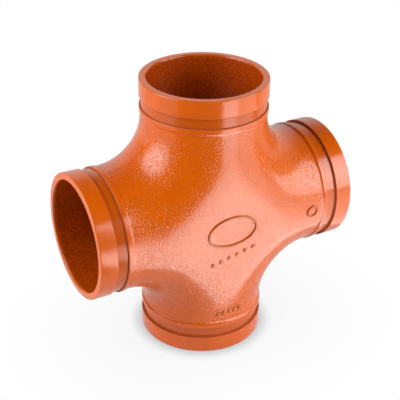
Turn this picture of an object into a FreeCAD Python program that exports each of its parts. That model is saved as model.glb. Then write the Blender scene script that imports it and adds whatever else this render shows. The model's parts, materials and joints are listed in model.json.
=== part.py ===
import FreeCAD, Part
import math
import os

# Grooved cross for 4 inch pipe: one iron casting with four equal outlets.
# Millimetres. The origin is the crossing point of the two bores, +Z is up, and
# the arms lie in the XZ plane. The casting is symmetric about all three planes.

# Driving dimensions: the outlets
PIPE_DIAMETER = 114.3
CENTRE_TO_END = 127.0
WALL = 6.5
GASKET_SEAT = 15.88
GROOVE_WIDTH = 9.53
GROOVE_DEPTH = 2.11
BAND_WIDTH = 5.0

# Driving dimensions: broken edges
RIM_CHAMFER = 0.8
BORE_CHAMFER = 0.6
SHOULDER_CHAMFER = 0.8

# Driving dimensions: the cast body between the outlets
NECK_STEP = 0.65
CROWN = 1.5
SIDE_FULLNESS = 2.4
FACE_FULLNESS = 2.1
FLATTENING = 3.0

# How finely each arm's skin is sampled, along the arm and around it
STATIONS_ALONG = 21
STATIONS_AROUND = 41

# Worked out from the driving dimensions
PIPE_RADIUS = PIPE_DIAMETER / 2
BORE_RADIUS = PIPE_RADIUS - WALL
GROOVE_RADIUS = PIPE_RADIUS - GROOVE_DEPTH
SEAT_START = CENTRE_TO_END - GASKET_SEAT
GROOVE_START = SEAT_START - GROOVE_WIDTH
NECK_PLANE = GROOVE_START - BAND_WIDTH
NECK_RADIUS = PIPE_RADIUS - NECK_STEP

ORIGIN = FreeCAD.Vector(0, 0, 0)
X_AXIS = FreeCAD.Vector(1, 0, 0)
Y_AXIS = FreeCAD.Vector(0, 1, 0)
Z_AXIS = FreeCAD.Vector(0, 0, 1)
SEW_TOLERANCE = 0.001


def solve(function, low, high):
    """Return the root of a function that rises from low to high, by halving."""
    for _ in range(50):
        middle = (low + high) / 2
        if function(middle) > 0:
            high = middle
        else:
            low = middle
    return (low + high) / 2


class Skin:
    """A smooth four-way skin: two crossed round tubes with swept corners.

    Seen in any section parallel to the arms, the corner between two arms is a
    quarter of a superellipse that starts and ends where the arms' necks do.
    The plain sweep bulges at the crossing, so its faces are pressed flat there.
    """

    def __init__(self, radius, reach, face_height):
        self.radius = radius
        self.reach = reach
        self.plain_height = solve(self._face_excess, radius, radius + reach)
        self.press = face_height / self.plain_height - 1

    def _face_excess(self, y):
        share = 0.5 ** (1 / FACE_FULLNESS)
        span = math.hypot(self.reach, y)
        return share * (span - self.radius) - (span - y)

    def outside(self, x, y, z):
        """Return a number that is negative inside the skin and positive outside it."""
        along_x = max(1 - (x / self.reach) ** 2, 0)
        along_z = max(1 - (z / self.reach) ** 2, 0)
        y = y / (1 + self.press * (along_x * along_z) ** FLATTENING)
        span = math.hypot(self.reach, y)
        depth = span - self.radius
        from_x_arm = max((span - math.hypot(y, z)) / depth, 0)
        from_z_arm = max((span - math.hypot(x, y)) / depth, 0)
        height = min(abs(y) / self.plain_height, 1)
        power = SIDE_FULLNESS + (FACE_FULLNESS - SIDE_FULLNESS) * height ** 2
        return 1 - from_x_arm ** power - from_z_arm ** power

    def diagonal_station(self, angle):
        """Return how far along X the skin meets the plane x = z, at an angle round the arm."""
        def excess(r):
            return self.outside(r * math.sin(angle), r * math.cos(angle), r * math.sin(angle))
        return solve(excess, 0, 2 * self.reach) * math.sin(angle)

    def point(self, x, angle):
        """Return the point of the skin at a station x, at an angle from the front face."""
        def excess(r):
            return self.outside(x, r * math.cos(angle), r * math.sin(angle))
        r = solve(excess, 0, 2 * self.reach)
        return FreeCAD.Vector(x, -r * math.cos(angle), r * math.sin(angle))

    def half_arm(self):
        """Return the face of the +X arm above its middle plane, from the neck to the diagonal."""
        rows = []
        for i in range(STATIONS_AROUND):
            angle = math.pi * i / (STATIONS_AROUND - 1)
            stop = self.diagonal_station(angle)
            row = []
            for j in range(STATIONS_ALONG):
                x = self.reach + (stop - self.reach) * j / (STATIONS_ALONG - 1)
                row.append(self.point(x, angle))
            rows.append(row)
        surface = Part.BSplineSurface()
        surface.interpolate(rows)
        return surface.toShape()

    def solid(self):
        """Return the space inside the skin, closed by flat discs at the four necks."""
        upper = self.half_arm()
        lower = upper.mirror(ORIGIN, Z_AXIS)
        faces = []
        for half in (upper, lower):
            faces.extend(four_arms(half))
        necks = []
        for half in (upper, lower):
            necks.append(min(half.Edges, key=lambda edge: abs(edge.CenterOfMass.x - self.reach)))
        disc = Part.Face(Part.Wire(necks))
        faces.extend(four_arms(disc))
        shell = Part.Shell(faces)
        shell.sewShape(SEW_TOLERANCE)
        return outward(Part.Solid(shell))


def four_arms(shape):
    """Return the shape of the +X arm turned to each of the four arms."""
    turned = []
    for quarter in range(4):
        copy = shape.copy()
        copy.rotate(ORIGIN, Y_AXIS, 90 * quarter)
        turned.append(copy)
    return turned


def outward(solid):
    """Return the solid with its faces turned outwards."""
    if solid.Volume < 0:
        solid.reverse()
    return solid


def turned_about_x(outline):
    """Return the solid turned about the X axis from an outline of (x, radius) corners."""
    corners = [FreeCAD.Vector(x, radius, 0) for x, radius in outline]
    wire = Part.makePolygon(corners + corners[:1])
    return Part.Face(wire).revolve(ORIGIN, X_AXIS, 360)


def grooved_end():
    """Return the machined end of the +X arm: band, groove and gasket seat, with no bore."""
    return turned_about_x([
        (NECK_PLANE, 0),
        (NECK_PLANE, NECK_RADIUS),
        (NECK_PLANE + NECK_STEP, PIPE_RADIUS),
        (GROOVE_START - SHOULDER_CHAMFER, PIPE_RADIUS),
        (GROOVE_START, PIPE_RADIUS - SHOULDER_CHAMFER),
        (GROOVE_START, GROOVE_RADIUS),
        (SEAT_START, GROOVE_RADIUS),
        (SEAT_START, PIPE_RADIUS),
        (CENTRE_TO_END - RIM_CHAMFER, PIPE_RADIUS),
        (CENTRE_TO_END, PIPE_RADIUS - RIM_CHAMFER),
        (CENTRE_TO_END, 0),
    ])


def end_bore():
    """Return the bore of the +X arm from its neck to past its end, with a broken edge."""
    past_end = CENTRE_TO_END + BORE_CHAMFER
    mouth_radius = BORE_RADIUS + 2 * BORE_CHAMFER
    return turned_about_x([
        (NECK_PLANE, 0),
        (NECK_PLANE, BORE_RADIUS),
        (CENTRE_TO_END - BORE_CHAMFER, BORE_RADIUS),
        (past_end, mouth_radius),
        (past_end, 0),
    ])


def cross_body():
    """Return the whole casting."""
    outer = Skin(NECK_RADIUS, NECK_PLANE, NECK_RADIUS + CROWN)
    outside = outer.solid().multiFuse(four_arms(grooved_end()), SEW_TOLERANCE)
    inner = Skin(BORE_RADIUS, NECK_PLANE, BORE_RADIUS + CROWN)
    waterway = inner.solid().multiFuse(four_arms(end_bore()), SEW_TOLERANCE)
    return outside.cut(waterway)


os.makedirs("parts", exist_ok=True)
casting = cross_body()
casting.exportStep("parts/cross_body.step")
print("cross_body", casting.isValid(), len(casting.Solids), "volume", round(casting.Volume))
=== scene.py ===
import json
import logging
import math
from abc import ABC, abstractmethod
from collections.abc import Callable
from dataclasses import dataclass, field
from enum import Enum

import bmesh
import bpy
import numpy as np
from mathutils import Matrix, Vector, noise


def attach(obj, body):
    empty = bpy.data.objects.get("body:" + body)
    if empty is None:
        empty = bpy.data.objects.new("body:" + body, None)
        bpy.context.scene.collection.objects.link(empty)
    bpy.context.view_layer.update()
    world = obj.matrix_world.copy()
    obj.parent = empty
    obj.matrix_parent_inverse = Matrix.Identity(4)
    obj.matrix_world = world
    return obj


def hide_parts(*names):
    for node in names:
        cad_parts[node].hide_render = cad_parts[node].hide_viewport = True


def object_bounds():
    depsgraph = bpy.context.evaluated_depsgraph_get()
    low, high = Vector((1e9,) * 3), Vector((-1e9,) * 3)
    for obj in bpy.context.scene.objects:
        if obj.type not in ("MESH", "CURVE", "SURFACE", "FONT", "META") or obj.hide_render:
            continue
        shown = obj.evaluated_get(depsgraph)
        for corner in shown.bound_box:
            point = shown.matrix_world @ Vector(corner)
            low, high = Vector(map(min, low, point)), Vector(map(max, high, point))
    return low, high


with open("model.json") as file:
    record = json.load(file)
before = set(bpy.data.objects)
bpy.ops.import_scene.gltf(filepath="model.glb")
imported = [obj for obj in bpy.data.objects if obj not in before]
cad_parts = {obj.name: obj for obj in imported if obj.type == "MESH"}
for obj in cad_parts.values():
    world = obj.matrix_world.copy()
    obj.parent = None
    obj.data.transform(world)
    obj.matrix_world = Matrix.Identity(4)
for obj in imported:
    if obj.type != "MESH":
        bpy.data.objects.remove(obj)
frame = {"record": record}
CAD_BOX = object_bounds()

log = logging.getLogger("grooved_cross")

MM = 0.001
BODY = "root"
CASTING_NODE = "cross_body"
OUTLET_MOUNT = "right_outlet"
MARK_MARGIN = 0.02 * MM
WHITE = (1.0, 1.0, 1.0, 1.0)

# The numbers of the Mix node's sockets for colours.
MIX_SHARE = 0
MIX_FIRST = 6
MIX_SECOND = 7
MIX_RESULT = 2

# A lamp's own coordinates run from 0 to 1 across its cloth.
CLOTH_MIDDLE = (0.5, 0.5, 0.0)
CLOTH_EDGE = 0.5

Pair = tuple[float, float]
Point = tuple[float, float, float]
Colour = tuple[float, float, float]
Socket = bpy.types.NodeSocket
Ring = list[bmesh.types.BMVert]


class Arm(Enum):
    """The four arms, as quarter turns about the Y axis from the right-hand one."""

    RIGHT = 0
    TOP = 1
    LEFT = 2
    BOTTOM = 3

    def turn(self, points: np.ndarray) -> np.ndarray:
        """Turn points of the right-hand arm to this arm.

        Args:
            points: An array of shape (..., 3).

        Returns:
            The turned points, in an array of the same shape.
        """
        x, y, z = points[..., 0], points[..., 1], points[..., 2]
        turned = {
            Arm.RIGHT: (x, y, z),
            Arm.TOP: (-z, y, x),
            Arm.LEFT: (-x, y, -z),
            Arm.BOTTOM: (z, y, -x),
        }[self]
        return np.stack(turned, axis=-1)


class Zone(Enum):
    """The differently finished zones of the casting, as material slot numbers."""

    CAST = 0
    MACHINED = 1
    BORE = 2


def halve(function: Callable[[np.ndarray], np.ndarray], low: np.ndarray, high: np.ndarray,
          steps: int = 46) -> np.ndarray:
    """Find the roots of rising functions by halving, many at a time.

    Args:
        function: A function of an array, with one rising value for each entry.
        low: Where each function is negative.
        high: Where each function is positive.
        steps: How many times each interval is halved.

    Returns:
        The root of each function.
    """
    for _ in range(steps):
        middle = (low + high) / 2
        above = function(middle) > 0
        high = np.where(above, middle, high)
        low = np.where(above, low, middle)
    return (low + high) / 2


@dataclass(frozen=True)
class Skin:
    """A smooth four-way skin: two crossed round tubes with swept corners."""

    radius: float
    reach: float
    face_height: float
    side_fullness: float = 2.4
    face_fullness: float = 2.1
    flattening: float = 3.0

    def plain_height(self) -> float:
        """Work out how high the crossing's face is before it is pressed flat.

        Returns:
            The height above the middle plane.
        """
        share = 0.5 ** (1 / self.face_fullness)

        def excess(y: np.ndarray) -> np.ndarray:
            """Return how far a face height is past the plain one."""
            span = np.hypot(self.reach, y)
            return share * (span - self.radius) - (span - y)

        return float(halve(excess, np.array(self.radius), np.array(self.radius + self.reach)))

    def outside(self, x: np.ndarray, y: np.ndarray, z: np.ndarray) -> np.ndarray:
        """Tell on which side of the skin points lie.

        Args:
            x: The points' X coordinates.
            y: The points' Y coordinates.
            z: The points' Z coordinates.

        Returns:
            Numbers that are negative inside the skin and positive outside it.
        """
        plain = self.plain_height()
        along_x = np.maximum(1 - (x / self.reach) ** 2, 0)
        along_z = np.maximum(1 - (z / self.reach) ** 2, 0)
        press = self.face_height / plain - 1
        y = y / (1 + press * (along_x * along_z) ** self.flattening)
        span = np.hypot(self.reach, y)
        depth = span - self.radius
        from_x_arm = np.maximum((span - np.hypot(y, z)) / depth, 0)
        from_z_arm = np.maximum((span - np.hypot(x, y)) / depth, 0)
        height = np.minimum(np.abs(y) / plain, 1)
        power = self.side_fullness + (self.face_fullness - self.side_fullness) * height**2
        return 1 - from_x_arm**power - from_z_arm**power

    def arm(self, angles: np.ndarray, stations: int) -> np.ndarray:
        """Lay a grid on the right-hand arm, from the diagonals to the neck.

        Args:
            angles: Angles round the arm, from its front.
            stations: How many rows of points there are along the arm.

        Returns:
            Points in an array of shape (stations, len(angles), 3).
        """
        sine, cosine = np.sin(angles), np.cos(angles)
        zero, far = np.zeros_like(angles), np.full_like(angles, 2 * self.reach)
        on_diagonal = halve(lambda r: self.outside(r * sine, r * cosine, r * sine), zero, far)
        rows = []
        for share in np.linspace(0, 1, stations):
            x = np.abs(on_diagonal * sine) * (1 - share) + self.reach * share
            r = halve(lambda r, x=x: self.outside(x, r * cosine, r * sine), zero, far)
            rows.append(np.stack([x, -r * cosine, r * sine], axis=-1))
        return np.array(rows)

    def front(self, x: np.ndarray, z: np.ndarray) -> np.ndarray:
        """Return how far the front of the skin stands from the middle plane at each (x, z)."""
        return halve(lambda y: self.outside(x, y, z), np.zeros_like(x), np.full_like(x, self.reach))


@dataclass(frozen=True)
class Corner:
    """A corner of a turned outline, with the radius that its edge is rounded to."""

    x: float
    radius: float
    rounding: float = 0.0


@dataclass(frozen=True)
class Outline:
    """An outline for turning, given by its corners."""

    corners: tuple[Corner, ...]
    arc_steps: int = 3

    def points(self) -> np.ndarray:
        """Round the corners off.

        Returns:
            The outline's points as rows of (x, radius), without its two end corners' roundings.
        """
        places = [np.array([c.x, c.radius]) for c in self.corners]
        points = [places[0]]
        for before, here, after, corner in zip(places, places[1:], places[2:], self.corners[1:]):
            back, ahead = before - here, after - here
            back, ahead = back / np.hypot(*back), ahead / np.hypot(*ahead)
            opening = math.acos(float(np.clip(back @ ahead, -1, 1)))
            if corner.rounding == 0:
                points.append(here)
                continue
            middle = (back + ahead) / np.hypot(*(back + ahead))
            centre = here + middle * corner.rounding / math.sin(opening / 2)
            start = here + back * corner.rounding / math.tan(opening / 2) - centre
            turn = math.pi - opening
            side = math.copysign(1.0, start[0] * ahead[1] - start[1] * ahead[0])
            for step in range(self.arc_steps + 1):
                angle = side * turn * step / self.arc_steps
                c, s = math.cos(angle), math.sin(angle)
                points.append(centre + [c * start[0] - s * start[1], s * start[0] + c * start[1]])
        points.append(places[-1])
        return np.array(points)


@dataclass(frozen=True)
class Unevenness:
    """The slow unevenness of a sand-cast skin: everything lies a little inside its true place."""

    least: float = 0.12 * MM
    depth: float = 0.24 * MM
    wave: float = 26 * MM
    ripple_depth: float = 0.05 * MM
    ripple_wave: float = 7 * MM

    def at(self, points: np.ndarray) -> np.ndarray:
        """Work out how deep the skin lies below its true place.

        Args:
            points: An array of shape (n, 3).

        Returns:
            A depth for each point, from zero up.
        """
        slow = np.array([noise.noise(Vector(p / self.wave)) for p in points])
        quick = np.array([noise.noise(Vector(p / self.ripple_wave)) for p in points])
        return self.least + self.depth * (slow + 1) / 2 + self.ripple_depth * (quick + 1) / 2


class NodeTree:
    """A small helper that adds shader nodes and links them."""

    def __init__(self, owner: bpy.types.Material | bpy.types.World | bpy.types.Light) -> None:
        """Empty a node tree and keep it.

        Args:
            owner: The material, world or light that the tree belongs to.
        """
        owner.use_nodes = True
        self.tree = owner.node_tree
        self.tree.nodes.clear()

    def add(self, kind: str, inputs: dict[str | int, object] | None = None,
            **settings: str | int) -> bpy.types.Node:
        """Add a node.

        Args:
            kind: The node's type, without the words that all shader nodes share.
            inputs: What each input socket is set to or linked from.
            **settings: The node's own settings.

        Returns:
            The new node.
        """
        node = self.tree.nodes.new("ShaderNode" + kind)
        for name, value in settings.items():
            setattr(node, name, value)
        for key, value in (inputs or {}).items():
            if isinstance(value, Socket):
                self.tree.links.new(value, node.inputs[key])
            else:
                node.inputs[key].default_value = value
        return node

    def place(self) -> Socket:
        """Return the socket with each point's place on the object, in metres."""
        return self.add("TexCoord").outputs["Object"]

    def along_arm(self) -> Socket:
        """Return the socket with how far along its arm each point of a machined end lies."""
        x, _, z = self.add("SeparateXYZ", {0: self.place()}).outputs
        return self.math("MAXIMUM", self.math("ABSOLUTE", x), self.math("ABSOLUTE", z))

    def off_line(self, line: float) -> Socket:
        """Return how far along its arm each point of a machined end lies from a line."""
        return self.math("ABSOLUTE", self.math("SUBTRACT", self.along_arm(), line))

    def grain(self, size: float, detail: float) -> Socket:
        """Return a noise about as coarse as the given size."""
        texture = self.add("TexNoise", {"Vector": self.place(), "Scale": 1 / size, "Detail": detail})
        return texture.outputs["Fac"]

    def ramp(self, value: Socket, low: float, high: float,
             to_low: float, to_high: float, smooth: bool = False) -> Socket:
        """Map a value's range to another.

        Args:
            value: The socket to map.
            low: The value that becomes to_low.
            high: The value that becomes to_high.
            to_low: The result at low.
            to_high: The result at high.
            smooth: Whether the ramp eases in and out.

        Returns:
            The mapped value.
        """
        inputs = {"Value": value, "From Min": low, "From Max": high, "To Min": to_low, "To Max": to_high}
        easing = "SMOOTHSTEP" if smooth else "LINEAR"
        return self.add("MapRange", inputs, interpolation_type=easing).outputs["Result"]

    def math(self, operation: str, *values: Socket | float) -> Socket:
        """Return the result of a sum on values or sockets."""
        return self.add("Math", dict(enumerate(values)), operation=operation).outputs["Value"]

    def measure(self, operation: str, first: Socket, second: Point) -> Socket:
        """Return the number that an operation on two vectors gives, such as their distance."""
        return self.add("VectorMath", {0: first, 1: second}, operation=operation).outputs["Value"]

    def bump(self, height: Socket, distance: float, below: Socket | None = None) -> Socket:
        """Return a normal that a height pushes about.

        Args:
            height: The height, from 0 to 1.
            distance: How far apart in metres the lowest and highest points are.
            below: The normal that this one builds on, if there is one.

        Returns:
            The changed normal.
        """
        inputs = {"Height": height, "Distance": distance}
        if below is not None:
            inputs["Normal"] = below
        return self.add("Bump", inputs).outputs["Normal"]

    def mix(self, share: Socket, first: Socket | Colour, second: Socket | Colour) -> Socket:
        """Mix two colours.

        Args:
            share: How much of the second colour there is.
            first: A colour or a colour socket.
            second: A colour or a colour socket.

        Returns:
            The mixed colour.
        """
        node = self.add("Mix", data_type="RGBA")
        for key, value in ((MIX_SHARE, share), (MIX_FIRST, first), (MIX_SECOND, second)):
            if isinstance(value, Socket):
                self.tree.links.new(value, node.inputs[key])
            else:
                node.inputs[key].default_value = (*value, 1.0)
        return node.outputs[MIX_RESULT]

    def mix_shaders(self, share: Socket, first: bpy.types.Node, second: bpy.types.Node) -> bpy.types.Node:
        """Add a mix of two shaders, with a given share of the second."""
        return self.add("MixShader", {0: share, 1: first.outputs[0], 2: second.outputs[0]})

    def glow(self, strength: Socket) -> bpy.types.Node:
        """Add a white glow of a given strength."""
        return self.add("Emission", {"Color": WHITE, "Strength": strength})

    def seen(self) -> Socket:
        """Return 1 for rays that the camera sees by, straight or through something clear, and else 0."""
        rays = self.add("LightPath").outputs
        return self.math("MAXIMUM", rays["Is Camera Ray"], rays["Is Transmission Ray"])

    def finish(self, shader: bpy.types.Node) -> None:
        """Link the shader to the material's output."""
        self.add("OutputMaterial", {"Surface": shader.outputs[0]})


@dataclass(frozen=True)
class PaintFinish:
    """Semi-gloss orange paint on iron, over a skin of a given coarseness."""

    name: str
    colour: Colour = (0.61, 0.100, 0.0006)
    thin_colour: Colour = (0.57, 0.090, 0.0006)
    patch: float = 14 * MM
    patch_detail: float = 4.0
    patch_range: Pair = (0.35, 0.65)
    roughness: float = 0.12
    roughness_spread: float = 0.02
    roughness_detail: float = 3.0
    roughness_range: Pair = (0.3, 0.7)
    grain: float = 1.6 * MM
    grain_detail: float = 1.0
    grain_height: float = 0.07 * MM
    pit_spacing: float = 1.35 * MM
    pit_radius: float = 0.70 * MM
    pit_depth: float = 0.18 * MM
    pit_roughness: float = 0.5
    pit_rough_rise: float = 0.5
    turning: float = 1.3 * MM
    turning_height: float = 0.0
    specular: float = 0.6
    ior: float = 1.5
    # A dark brown, painted as shade into the machined corners and over the groove floor.
    painted_shade: Colour = (0.30, 0.045, 0.0010)
    shaded_lines: tuple[float, ...] = ()
    shade_width: float = 0.9 * MM
    most_shade: float = 0.7
    groove_shade: float = 0.35

    def shade(self, tree: NodeTree) -> Socket:
        """Work out the colour, varied in patches, with painted shade in the machined corners and groove.

        Args:
            tree: The material's node tree.

        Returns:
            The colour.
        """
        patches = tree.ramp(tree.grain(self.patch, self.patch_detail), *self.patch_range, 0.0, 1.0)
        colour = tree.mix(patches, self.colour, self.thin_colour)
        # Painted shade in each machined corner.
        for line in self.shaded_lines:
            colour = tree.mix(self.painted_shade_share(tree, line), colour, self.painted_shade)
        # Painted shade over the whole groove floor, fading out at its two ends.
        if self.shaded_lines:
            low, high = self.shaded_lines
            half = (high - low) / 2
            away = tree.off_line((low + high) / 2)
            share = tree.ramp(away, half - self.shade_width, half, self.groove_shade, 0.0)
            colour = tree.mix(share, colour, self.painted_shade)
        return colour

    def painted_shade_share(self, tree: NodeTree, line: float) -> Socket:
        """Return how much painted shade each point has, in the machined corner that lies at a line."""
        return tree.ramp(tree.off_line(line), 0.0, self.shade_width, self.most_shade, 0.0, smooth=True)

    def rise(self, tree: NodeTree) -> Socket:
        """Work out how high each point stands in the pits that sand left.

        Args:
            tree: The material's node tree.

        Returns:
            The height, from 0 at a pit's bottom to 1 outside the pits.
        """
        pits = tree.add("TexVoronoi", {"Vector": tree.place(), "Scale": 1 / self.pit_spacing})
        radius = self.pit_radius / self.pit_spacing
        return tree.ramp(pits.outputs["Distance"], 0.0, radius, 0.0, 1.0, smooth=True)

    def gloss(self, tree: NodeTree) -> Socket:
        """Work out the roughness, which varies in patches and is high in the pits and the painted corner
        shade.

        Args:
            tree: The material's node tree.

        Returns:
            The roughness.
        """
        low, high = self.roughness - self.roughness_spread, self.roughness + self.roughness_spread
        patches = tree.grain(self.patch / 2, self.roughness_detail)
        roughness = tree.ramp(patches, *self.roughness_range, low, high)
        in_pits = tree.ramp(self.rise(tree), 0.0, self.pit_rough_rise, self.pit_roughness, 0.0)
        roughness = tree.math("MAXIMUM", roughness, in_pits)
        for line in self.shaded_lines:
            roughness = tree.math("MAXIMUM", roughness, self.painted_shade_share(tree, line))
        return roughness

    def relief(self, tree: NodeTree) -> Socket:
        """Work out the normal: waves and pits of sand grain, and turning lines where there are any.

        Args:
            tree: The material's node tree.

        Returns:
            The normal.
        """
        normal = tree.bump(tree.grain(self.grain, self.grain_detail), self.grain_height)
        normal = tree.bump(self.rise(tree), self.pit_depth, normal)
        if self.turning_height > 0:
            inputs = {"W": tree.along_arm(), "Scale": 1 / self.turning, "Detail": self.grain_detail}
            lines = tree.add("TexNoise", inputs, noise_dimensions="1D").outputs["Fac"]
            normal = tree.bump(lines, self.turning_height, normal)
        return normal

    def material(self) -> bpy.types.Material:
        """Make the paint's material.

        Returns:
            The material, with its colour, gloss and relief varied over the surface.
        """
        material = bpy.data.materials.new(self.name)
        tree = NodeTree(material)
        shader = tree.add("BsdfPrincipled", {"Base Color": self.shade(tree), "Roughness": self.gloss(tree),
                                             "IOR": self.ior, "Specular IOR Level": self.specular,
                                             "Normal": self.relief(tree)})
        tree.finish(shader)
        return material


CAST_PAINT = PaintFinish("cast_paint")
# Darker than the outside paint: partly a thinner coat inside, partly painted shade for the dimly lit
# bores.
BORE_PAINT = PaintFinish("bore_paint", colour=(0.48, 0.064, 0.0004), thin_colour=(0.28, 0.030, 0.0003),
                         patch=1.5 * MM, roughness=0.30, grain_height=0.3 * MM, pit_spacing=1.6 * MM,
                         pit_depth=0.3 * MM, specular=0.15)
# A browner, darker paint on the raised marks: painted shade for the dark, shaded edges that cast lettering
# shows.
MARK_PAINT = PaintFinish("mark_paint", colour=(0.47, 0.105, 0.012), thin_colour=(0.38, 0.080, 0.008),
                         roughness=0.30, grain_height=0.03 * MM, pit_depth=0.02 * MM, specular=0.35)


def machined_paint(corners: tuple[float, ...]) -> PaintFinish:
    """Return the finish of the machined ends, with painted shade in the given corners and over the groove
    between them.
    """
    return PaintFinish("machined_paint", roughness=0.17, grain_height=0.012 * MM,
                       pit_depth=0.004 * MM, pit_roughness=0.2,
                       turning_height=0.015 * MM, shaded_lines=corners)


@dataclass(frozen=True)
class CreaseWander:
    """How the crease between a cast neck and its turned band wanders along the arm and sinks."""

    along: float = 0.8 * MM
    turns: float = 2.2
    reach_behind: float = 2 * MM
    reach_ahead: float = 0.6 * MM
    sink: float = 0.45 * MM
    sink_middle: float = 0.5
    sink_spread: float = 1.2
    sink_reach: float = 7 * MM
    sink_overlap: float = 0.01 * MM
    noise_step_per_arm: float = 7.0
    noise_step_to_sink: float = 3.5


@dataclass(frozen=True)
class CrossCasting:
    """The casting: four grooved outlets round a blended body, in one piece."""

    pipe_radius: float
    centre_to_end: float
    wall: float = 6.5 * MM
    gasket_seat: float = 15.88 * MM
    groove_width: float = 9.53 * MM
    groove_depth: float = 2.11 * MM
    band_width: float = 5.0 * MM
    neck_step: float = 0.65 * MM
    crown: float = 1.5 * MM
    rim_rounding: float = 0.8 * MM
    mouth_rounding: float = 0.6 * MM
    shoulder_rounding: float = 0.9 * MM
    groove_rounding: float = 0.3 * MM
    columns: int = 176
    outer_stations: int = 50
    inner_stations: int = 24
    bore_stations: int = 8
    seam_height: float = 0.2 * MM
    seam_width: float = 1.6 * MM
    wander: CreaseWander = field(default_factory=CreaseWander)
    unevenness: Unevenness = field(default_factory=Unevenness)

    @property
    def neck_plane(self) -> float:
        """Return how far along each arm the cast body ends."""
        return self.centre_to_end - self.gasket_seat - self.groove_width - self.band_width

    @property
    def groove_ends(self) -> Pair:
        """Return how far along each arm the groove starts and ends."""
        seat = self.centre_to_end - self.gasket_seat
        return seat - self.groove_width, seat

    @property
    def bore_radius(self) -> float:
        """Return the radius of the bores."""
        return self.pipe_radius - self.wall

    def outer_skin(self) -> Skin:
        """Return the outside of the cast body."""
        radius = self.pipe_radius - self.neck_step
        return Skin(radius, self.neck_plane, radius + self.crown)

    def inner_skin(self) -> Skin:
        """Return the waterway's wall between the bores."""
        return Skin(self.bore_radius, self.neck_plane, self.bore_radius + self.crown)

    def end_outline(self) -> Outline:
        """Trace a machined end.

        Returns:
            The outline from the neck, over the band, groove, seat and rim, to inside the mouth.
        """
        neck, end, pipe = self.neck_plane, self.centre_to_end, self.pipe_radius
        groove, seat = self.groove_ends
        floor = pipe - self.groove_depth
        return Outline((
            Corner(neck, pipe - self.neck_step),
            Corner(neck + self.neck_step, pipe, self.groove_rounding),
            Corner(groove, pipe, self.shoulder_rounding),
            Corner(groove, floor, self.groove_rounding),
            Corner(seat, floor, self.groove_rounding),
            Corner(seat, pipe, self.groove_rounding),
            Corner(end, pipe, self.rim_rounding),
            Corner(end, self.bore_radius, self.mouth_rounding),
            Corner(end - 2 * self.mouth_rounding, self.bore_radius),
        ))

    def arm_grid(self) -> tuple[np.ndarray, list[Zone]]:
        """Lay out the right-hand arm, from its outer diagonals round the end to the inner ones.

        Returns:
            Points in an array of shape (rows, columns, 3), and the zone between each two rows.
        """
        angles = 2 * math.pi * np.arange(self.columns) / self.columns
        outer = self.outer_skin().arm(angles, self.outer_stations)
        inner = self.inner_skin().arm(angles, self.inner_stations)[::-1]
        outline = self.end_outline().points()[1:]
        bore_x = np.linspace(outline[-1][0], self.neck_plane, self.bore_stations + 1)[1:-1]
        outline = np.vstack([outline, np.stack([bore_x, np.full_like(bore_x, self.bore_radius)], axis=-1)])
        turned = np.stack([
            np.broadcast_to(outline[:, :1], (len(outline), self.columns)),
            -outline[:, 1:] * np.cos(angles),
            outline[:, 1:] * np.sin(angles)], axis=-1)
        machined = len(outline) - len(bore_x) - 1
        zones = [Zone.CAST] * (len(outer) - 1)
        zones += [Zone.MACHINED] * (machined + 1)
        zones += [Zone.BORE] * (len(bore_x) + len(inner))
        return np.concatenate([outer, turned, inner]), zones

    def waver(self, grid: np.ndarray, arm: Arm) -> np.ndarray:
        """Make the crease between the cast neck and the turned band wander a little.

        Args:
            grid: The right-hand arm's grid of points.
            arm: The arm that the grid is for, because no two wander alike.

        Returns:
            The grid with its neck moved a little along the arm and into the metal.
        """
        wander = self.wander
        x, y, z = grid[..., 0], grid[..., 1], grid[..., 2]
        radius = np.hypot(y, z)
        circle = wander.turns * np.stack([y[-1], z[-1]], axis=-1) / radius[-1, :, None]
        start = wander.noise_step_per_arm * arm.value
        aside = np.array([noise.noise(Vector((*c, start))) for c in circle])
        start += wander.noise_step_to_sink
        depth = np.array([noise.noise(Vector((*c, start))) for c in circle])
        outside = radius > (self.bore_radius + self.pipe_radius) / 2
        behind = np.maximum(self.neck_plane - x, 0)
        ahead = np.maximum(x - self.neck_plane - self.neck_step, 0)
        near = np.exp(-behind / wander.reach_behind) * np.exp(-ahead / wander.reach_ahead) * outside
        cast = x <= self.neck_plane + wander.sink_overlap
        fade = np.exp(-behind / wander.sink_reach) * cast * outside
        sink = wander.sink * np.clip(wander.sink_middle + wander.sink_spread * depth, 0, 1) * fade
        shrink = 1 - sink / radius
        moved = np.stack([x + wander.along * aside * near, y * shrink, z * shrink], axis=-1)
        # The arms meet along their first rows outside and their last rows inside, so those stay.
        moved[0] = grid[0]
        moved[-1] = grid[-1]
        return moved

    def seam(self, points: np.ndarray) -> np.ndarray:
        """Return how far the fettled parting seam stands up at each point."""
        return self.seam_height * np.exp(-((points[:, 1] / self.seam_width) ** 2))

    def roughen(self, mesh: bpy.types.Mesh) -> None:
        """Sink the cast zones into the metal by their unevenness, and leave the parting seam.

        Args:
            mesh: The casting's mesh, with its material slots set.
        """
        turned = set()
        cast = set()
        for polygon in mesh.polygons:
            if polygon.material_index == Zone.MACHINED.value:
                turned.update(polygon.vertices)
            elif polygon.material_index == Zone.CAST.value:
                cast.update(polygon.vertices)
        count = len(mesh.vertices)
        points, normals = np.empty(count * 3), np.empty(count * 3)
        mesh.vertices.foreach_get("co", points)
        mesh.vertices.foreach_get("normal", normals)
        points, normals = points.reshape(-1, 3), normals.reshape(-1, 3)
        depth = self.unevenness.at(points)
        skin = np.zeros(count, bool)
        skin[list(cast)] = True
        depth -= self.seam(points) * skin
        depth[list(turned)] = 0
        mesh.vertices.foreach_set("co", (points - normals * depth[:, None]).ravel())
        mesh.update()

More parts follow.
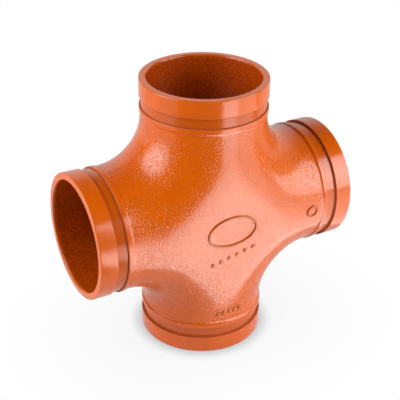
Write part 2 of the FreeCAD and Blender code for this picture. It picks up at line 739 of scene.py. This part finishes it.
    def build(self) -> bpy.types.Object:
        """Build the casting's mesh from its four arms.

        Returns:
            The casting, watertight, with each face given the material slot number of its zone.
        """
        grid, zones = self.arm_grid()
        rows, columns = grid.shape[:2]
        corners, faces, slots = [], [], []
        for arm in Arm:
            start = len(corners) * rows * columns
            corners.append(arm.turn(self.waver(grid, arm)).reshape(-1, 3))
            for row in range(rows - 1):
                for column in range(columns):
                    beside = (column + 1) % columns
                    a, b = start + row * columns + column, start + row * columns + beside
                    faces.append((a, a + columns, b + columns, b))
                    slots.append(zones[row].value)
        mesh = bpy.data.meshes.new("cross_casting")
        mesh.from_pydata(np.concatenate(corners).tolist(), [], faces)
        mesh.polygons.foreach_set("material_index", slots)
        join_seams(mesh)
        self.roughen(mesh)
        piece = show("cross_casting", mesh)
        normals = piece.modifiers.new("flat_faces_first", "WEIGHTED_NORMAL")
        normals.mode = "FACE_AREA"
        normals.keep_sharp = False
        return piece


def show(name: str, mesh: bpy.types.Mesh) -> bpy.types.Object:
    """Put a mesh into the scene.

    Args:
        name: The new object's name.
        mesh: Its mesh.

    Returns:
        The new object.
    """
    piece = bpy.data.objects.new(name, mesh)
    bpy.context.scene.collection.objects.link(piece)
    return piece


def join_seams(mesh: bpy.types.Mesh, reach: float = 1e-6) -> None:
    """Merge the mesh's doubled corners, turn its faces outwards and smooth them.

    Args:
        mesh: The mesh to change.
        reach: How near two corners are merged.
    """
    work = bmesh.new()
    work.from_mesh(mesh)
    bmesh.ops.remove_doubles(work, verts=work.verts, dist=reach)
    bmesh.ops.dissolve_degenerate(work, edges=work.edges, dist=reach)
    bmesh.ops.recalc_face_normals(work, faces=work.faces)
    open_edges = sum(not edge.is_manifold for edge in work.edges)
    log.info("%s: %d faces, %d open edges, volume %.0f mm3", mesh.name, len(work.faces), open_edges,
             work.calc_volume() / MM**3)
    work.to_mesh(mesh)
    work.free()
    mesh.polygons.foreach_set("use_smooth", [True] * len(mesh.polygons))


def dress(piece: bpy.types.Object, finishes: tuple[PaintFinish, ...]) -> None:
    """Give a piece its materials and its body.

    Args:
        piece: The piece to dress.
        finishes: Its finishes, one for each of its material slots.
    """
    for finish in finishes:
        piece.data.materials.append(finish.material())
    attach(piece, BODY)


def join_rings(work: bmesh.types.BMesh, lower: Ring, upper: Ring) -> None:
    """Add the faces between two closed rings of as many corners.

    Args:
        work: The mesh to add to.
        lower: The first ring's corners, in order.
        upper: The second ring's corners, in the same order.
    """
    for i in range(len(lower)):
        j = (i + 1) % len(lower)
        work.faces.new((lower[i], lower[j], upper[j], upper[i]))


@dataclass(frozen=True)
class RaisedMark(ABC):
    """A plain mark cast on the front of the body: a closed skin that stands up from it."""

    name: str
    skin: Skin
    limit: float
    height: float
    sunk: float = 0.6 * MM

    @abstractmethod
    def loops(self) -> list[np.ndarray]:
        """Return the mark's loops of (x, z, lift) rows, from its foot up and over."""

    def build(self) -> bpy.types.Object:
        """Build the mark's mesh.

        Returns:
            The mark, with its foot sunk into the casting.
        """
        work = bmesh.new()
        for loops in self.loops():
            self.add_form(work, loops)
        bmesh.ops.recalc_face_normals(work, faces=work.faces)
        mesh = bpy.data.meshes.new(self.name)
        work.to_mesh(mesh)
        work.free()
        mesh.polygons.foreach_set("use_smooth", [True] * len(mesh.polygons))
        return show(self.name, mesh)

    def add_form(self, work: bmesh.types.BMesh, loops: np.ndarray) -> None:
        """Add one closed form to the mark.

        Args:
            work: The mesh to add to.
            loops: Rings of (x, z, lift) in an array of shape (rings, points, 3).
        """
        rings = self.rings(work, loops)
        for lower, upper in zip(rings, rings[1:]):
            join_rings(work, lower, upper)
        work.faces.new(rings[0])
        work.faces.new(rings[-1])

    def rings(self, work: bmesh.types.BMesh, loops: np.ndarray) -> list[Ring]:
        """Place a form's corners on the casting.

        Args:
            work: The mesh to add them to.
            loops: Rings of (x, z, lift) in an array of shape (rings, points, 3).

        Returns:
            The new corners, ring by ring.
        """
        x, z, lift = loops[..., 0], loops[..., 1], loops[..., 2]
        out = np.minimum(self.skin.front(x, z) + lift, self.limit)
        return [[work.verts.new(p) for p in ring] for ring in np.stack([x, -out, z], axis=-1)]


@dataclass(frozen=True)
class OvalRing(RaisedMark):
    """A plain oval rib."""

    centre: Pair = (0.0, 0.0)
    half_width: float = 24 * MM
    half_height: float = 14 * MM
    rib: float = 2.0 * MM
    columns: int = 96
    section_points: int = 9
    squareness: int = 4

    def loops(self) -> list[np.ndarray]:
        """Carry the rib's section round the oval.

        Returns:
            One form, whose rings go from the rib's inner foot over its top to its outer foot.
        """
        turn = np.linspace(0, 2 * math.pi, self.columns, endpoint=False)
        across = np.cos(np.linspace(math.pi, 0, self.section_points))
        lift = self.height * (1 - np.abs(across) ** self.squareness) ** 0.5
        across = np.concatenate([[-1.0], across, [1.0]]) * self.rib / 2
        lift = np.concatenate([[-self.sunk], lift, [-self.sunk]])
        rings = []
        for offset, up in zip(across, lift):
            x = self.centre[0] + (self.half_width + offset) * np.cos(turn)
            z = self.centre[1] + (self.half_height + offset) * np.sin(turn)
            rings.append(np.stack([x, z, np.full_like(x, up)], axis=-1))
        return [np.array(rings)]

    def add_form(self, work: bmesh.types.BMesh, loops: np.ndarray) -> None:
        """Add the rib, closed underneath instead of at its first and last rings.

        Args:
            work: The mesh to add to.
            loops: Rings of (x, z, lift) in an array of shape (rings, points, 3).
        """
        rings = self.rings(work, loops)
        for lower, upper in zip(rings, rings[1:] + rings[:1]):
            join_rings(work, lower, upper)


@dataclass(frozen=True)
class Studs(RaisedMark):
    """A row of round-ended studs: pips where they are round, short bars where they are long."""

    first: Pair = (0.0, 0.0)
    last: Pair = (0.0, 0.0)
    count: int = 1
    width: float = 4 * MM
    length: float = 4 * MM
    lean: float = 0.0
    columns: int = 28
    dome_points: int = 6
    dome_taper: float = 0.45
    dome_fullness: float = 0.8
    cap_sizes: Pair = (0.25, 0.02)
    straight_hold: float = 1.2

    def loops(self) -> list[np.ndarray]:
        """Lay the studs out in their row.

        Returns:
            A form for each stud, whose rings rise from its foot and close over its top.
        """
        turn = np.linspace(0, 2 * math.pi, self.columns, endpoint=False)
        straight = max(self.length - self.width, 0) / 2
        side = np.cos(turn)
        end = np.sin(turn)
        rise = np.linspace(0, math.pi / 2, self.dome_points)
        sizes = np.concatenate([[1.0], 1 - self.dome_taper * (1 - np.cos(rise)), self.cap_sizes])
        dome = self.height * np.sin(rise) ** self.dome_fullness
        lifts = np.concatenate([[-self.sunk], dome, [self.height] * len(self.cap_sizes)])
        forms = []
        for share in np.linspace(0, 1, self.count):
            centre = np.array(self.first) * (1 - share) + np.array(self.last) * share
            rings = []
            for size, lift in zip(sizes, lifts):
                across = self.width / 2 * size * side
                shift = straight * np.sign(end) * min(1.0, size * self.straight_hold)
                along = self.width / 2 * size * end + shift
                x = centre[0] + across * math.cos(self.lean) - along * math.sin(self.lean)
                z = centre[1] + across * math.sin(self.lean) + along * math.cos(self.lean)
                rings.append(np.stack([x, z, np.full_like(x, lift)], axis=-1))
            forms.append(np.array(rings))
        return forms


def plain_marks(skin: Skin, limit: float) -> list[RaisedMark]:
    """Choose the plain marks that the casting carries on its front.

    Args:
        skin: The outside of the cast body.
        limit: How far from the middle plane a mark may reach.

    Returns:
        An oval rib, a row of pips, a round rib and a row of short bars.
    """
    return [
        OvalRing("oval_rib", skin, limit, height=1.1 * MM, centre=(-1.5 * MM, 1.0 * MM)),
        Studs("date_pips", skin, limit, height=0.8 * MM, count=6,
              first=(-21 * MM, -29 * MM), last=(20 * MM, -20 * MM)),
        OvalRing("round_rib", skin, limit, height=0.9 * MM, centre=(84.5 * MM, -2 * MM),
                 half_width=5.2 * MM, half_height=5.2 * MM, rib=1.5 * MM, columns=48),
        Studs("short_bars", skin, limit, height=0.8 * MM, count=5,
              first=(-13 * MM, -86 * MM), last=(9 * MM, -84.5 * MM),
              width=1.6 * MM, length=4.6 * MM, lean=-0.1),
    ]


def towards(azimuth: float, elevation: float) -> Vector:
    """Work out a direction from the object.

    Args:
        azimuth: The angle from the front towards the right, in degrees.
        elevation: The angle upwards from level, in degrees.

    Returns:
        The direction, as a vector of length 1.
    """
    a, e = math.radians(azimuth), math.radians(elevation)
    return Vector((math.sin(a) * math.cos(e), -math.cos(a) * math.cos(e), math.sin(e)))


@dataclass(frozen=True)
class Camera:
    """The camera, looking at the cross from the front left and above."""

    azimuth: float = -29.327
    elevation: float = 29.273
    roll: float = 0.891
    distance: float = 0.92071
    aside: float = -0.00199
    above: float = 0.00324
    lens: float = 89.52
    nearest: float = 0.01
    farthest: float = 50.0

    def build(self) -> bpy.types.Object:
        """Make the camera and set it as the scene's.

        Returns:
            The camera.
        """
        a, r = math.radians(self.azimuth), math.radians(self.roll)
        back = towards(self.azimuth, self.elevation)
        level = Vector((math.cos(a), math.sin(a), 0))
        upright = back.cross(level)
        right = level * math.cos(r) + upright * math.sin(r)
        up = upright * math.cos(r) - level * math.sin(r)
        camera = bpy.data.objects.new("camera", bpy.data.cameras.new("camera"))
        camera.data.lens = self.lens
        camera.data.clip_start, camera.data.clip_end = self.nearest, self.farthest
        turn = Matrix((right, up, back)).transposed().to_4x4()
        place = back * self.distance + right * self.aside + up * self.above
        camera.matrix_world = Matrix.Translation(place) @ turn
        bpy.context.scene.collection.objects.link(camera)
        bpy.context.scene.camera = camera
        return camera


class Cloth(Enum):
    """The outline of a soft box's cloth, as the lamp's shape."""

    OVAL = "ELLIPSE"
    OBLONG = "RECTANGLE"

    @property
    def fill(self) -> float:
        """Return the share of its width times its height that the cloth covers."""
        return math.pi / 4 if self is Cloth.OVAL else 1.0


@dataclass(frozen=True)
class SoftBox:
    """A soft box lamp, placed by its direction from the object."""

    name: str
    azimuth: float
    elevation: float
    width: float
    height: float
    brightness: float
    core: float
    cloth: Cloth = Cloth.OVAL
    distance: float = 1.0

    @property
    def edge(self) -> float:
        """Return how bright the cloth's edge is, so that an oval's mean is 1 whatever its core."""
        return (3 - self.core) / 2

    def build(self) -> bpy.types.Object:
        """Make the lamp, facing the object, with its cloth brightest in the middle.

        Returns:
            The lamp.
        """
        away = towards(self.azimuth, self.elevation)
        data = bpy.data.lights.new(self.name, "AREA")
        data.shape = self.cloth.value
        data.size, data.size_y = self.width, self.height
        data.energy = self.brightness * math.pi * self.cloth.fill * self.width * self.height
        tree = NodeTree(data)
        across = tree.measure("DISTANCE", tree.add("NewGeometry").outputs["Parametric"], CLOTH_MIDDLE)
        glow = tree.glow(tree.ramp(across, 0.0, CLOTH_EDGE, self.core, self.edge))
        tree.add("OutputLight", {"Surface": glow.outputs[0]})
        lamp = bpy.data.objects.new(self.name, data)
        lamp.location = away * self.distance
        lamp.rotation_euler = away.to_track_quat("Z", "Y").to_euler()
        bpy.context.scene.collection.objects.link(lamp)
        return lamp


@dataclass(frozen=True)
class LitCard:
    """A lit white card on the floor in front of the object, which only reflections show."""

    floor: float
    lift: float = 1 * MM
    brightness: float = 5.4
    corners: tuple[Pair, ...] = (
        (-0.052, -0.105), (0.11, -0.10), (0.20, -0.02), (0.46, -0.05),
        (2.2, -2.6), (0.24, -2.6), (0.08, -0.85), (-0.035, -0.32))
    core: Point = (0.07, -0.27, 0.0)
    core_reach: float = 0.12
    fade_reach: float = 0.90
    edge_share: float = 0.3
    aside: Point = (1.0, 0.3, 0.0)
    side_start: float = 0.10
    side_end: float = 0.17
    side_share: float = 0.42

    def build(self) -> bpy.types.Object:
        """Make the card.

        Returns:
            The card, unseen by the camera, by shadows and by diffuse rays.
        """
        mesh = bpy.data.meshes.new("lit_card")
        mesh.from_pydata([(x, y, 0) for x, y in self.corners], [], [tuple(range(len(self.corners)))])
        card = show("lit_card", mesh)
        card.location.z = self.floor + self.lift
        card.visible_camera = False
        card.visible_shadow = False
        card.visible_diffuse = False
        mesh.materials.append(self.material())
        return card

    def material(self) -> bpy.types.Material:
        """Make the card's glow.

        Returns:
            A white glow that fades away from the card's core and towards its right side.
        """
        material = bpy.data.materials.new("card_glow")
        tree = NodeTree(material)
        away = tree.measure("DISTANCE", tree.place(), self.core)
        share = tree.ramp(away, self.core_reach, self.fade_reach, 1.0, self.edge_share)
        side = tree.measure("DOT_PRODUCT", tree.place(), self.aside)
        side_share = tree.ramp(side, self.side_start, self.side_end, 1.0, self.side_share)
        share = tree.math("MULTIPLY", share, side_share)
        tree.finish(tree.glow(tree.math("MULTIPLY", share, self.brightness)))
        return material


@dataclass(frozen=True)
class Floor:
    """A pale floor that keeps the object's shadow and fades into the white room."""

    height: float
    size: float = 8.0
    colour: Colour = (0.86, 0.86, 0.86)
    contact: float = 14 * MM
    contact_shade: float = 0.75
    reach: float = 0.13
    reach_shade: float = 0.14
    sky_samples: int = 16
    sheen: float = 0.70
    sheen_start: float = -0.20
    sheen_full: float = -0.13

    def shade(self, tree: NodeTree, reach: float, depth: float) -> Socket:
        """Work out how much a shadow of a given reach leaves of the floor's light.

        Args:
            tree: The floor's node tree.
            reach: How far from the object the shadow goes.
            depth: How much light it takes where nothing of the sky is seen.

        Returns:
            The share of the light that is left.
        """
        sky = tree.add("AmbientOcclusion", {"Distance": reach}, samples=self.sky_samples).outputs["AO"]
        return tree.ramp(sky, 0.0, 1.0, 1.0 - depth, 1.0)

    def build(self) -> bpy.types.Object:
        """Make the floor.

        Returns:
            The floor.
        """
        half = self.size / 2
        mesh = bpy.data.meshes.new("floor")
        mesh.from_pydata([(-half, -half, 0), (half, -half, 0), (half, half, 0), (-half, half, 0)], [],
                         [(0, 1, 2, 3)])
        floor = show("floor", mesh)
        floor.location.z = self.height
        mesh.materials.append(self.material())
        return floor

    def material(self) -> bpy.types.Material:
        """Make the floor's material.

        Returns:
            A matt white that the camera sees as white, apart from the shadow near the object, and
            whose front is dark in reflections.
        """
        material = bpy.data.materials.new("floor_paper")
        tree = NodeTree(material)
        matt = tree.add("BsdfDiffuse", {"Color": (*self.colour, 1.0)})
        left = tree.math("MULTIPLY", self.shade(tree, self.contact, self.contact_shade),
                         self.shade(tree, self.reach, self.reach_shade))
        y = tree.add("SeparateXYZ", {0: tree.place()}).outputs["Y"]
        sheen = tree.ramp(y, self.sheen_start, self.sheen_full, 0.0, self.sheen, smooth=True)
        rays = tree.add("LightPath").outputs
        unseen = tree.mix_shaders(rays["Is Glossy Ray"], matt, tree.glow(sheen))
        tree.finish(tree.mix_shaders(tree.seen(), unseen, tree.glow(left)))
        return material


@dataclass(frozen=True)
class Room:
    """The room: a white backdrop behind the object, dark in front, white where the camera sees it."""

    backdrop: float = 0.90
    ambient: float = 0.24
    behind: Point = (0.49, 0.87, 0.0)
    behind_range: Pair = (0.3, 0.85)
    top_range: Pair = (0.4, 0.75)
    top_share: float = 0.25

    def build(self) -> bpy.types.World:
        """Set the scene's world.

        Returns:
            The world, with a strength for each kind of ray.
        """
        world = bpy.data.worlds.new("room")
        bpy.context.scene.world = world
        tree = NodeTree(world)
        direction = tree.add("TexCoord").outputs["Generated"]
        facing = tree.measure("DOT_PRODUCT", direction, self.behind)
        wall = tree.ramp(facing, *self.behind_range, 0.0, self.backdrop, smooth=True)
        z = tree.add("SeparateXYZ", {0: direction}).outputs["Z"]
        rear = tree.math("MULTIPLY", wall, tree.ramp(z, *self.top_range, 1.0, self.top_share, smooth=True))
        rays = tree.add("LightPath").outputs
        reflected = tree.math("MULTIPLY", rear, rays["Is Glossy Ray"])
        ambient = tree.ramp(rays["Is Diffuse Ray"], 0.0, 1.0, 0.0, self.ambient)
        strength = tree.math("MAXIMUM", tree.math("MAXIMUM", reflected, ambient), tree.seen())
        shown = tree.add("Background", {"Color": WHITE, "Strength": strength})
        tree.add("OutputWorld", {"Surface": shown.outputs[0]})
        return world


def report(made: bpy.types.Object | bpy.types.World) -> None:
    """Log that a piece of the model or of the studio is built."""
    log.info("%s: built", made.name)


def main() -> None:
    """Build the camera, the casting, its marks and the studio in order, and report each."""
    logging.basicConfig(level=logging.INFO, format="%(message)s")
    view_settings = bpy.context.scene.view_settings
    view_settings.view_transform = "Standard"
    report(Camera().build())
    lowest, highest = CAD_BOX
    outlet = next(m for m in frame["record"]["mounts"] if m["name"] == OUTLET_MOUNT)
    casting = CrossCasting(pipe_radius=outlet["dims"]["r_mm"] * MM, centre_to_end=highest.x)
    piece = casting.build()
    dress(piece, (CAST_PAINT, machined_paint(casting.groove_ends), BORE_PAINT))
    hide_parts(CASTING_NODE)
    report(piece)
    for mark in plain_marks(casting.outer_skin(), highest.y - MARK_MARGIN):
        piece = mark.build()
        dress(piece, (MARK_PAINT,))
        report(piece)
    studio = (
        Floor(height=lowest.z),
        LitCard(floor=lowest.z),
        SoftBox("left_soft_box", azimuth=-100, elevation=27, width=0.92, height=1.26,
                brightness=4.2, core=1.9),
        SoftBox("right_soft_box", azimuth=42, elevation=19, width=0.88, height=0.84,
                brightness=5.2, core=1.3, cloth=Cloth.OBLONG),
        Room(),
    )
    for item in studio:
        report(item.build())


if __name__ == "__main__":
    main()
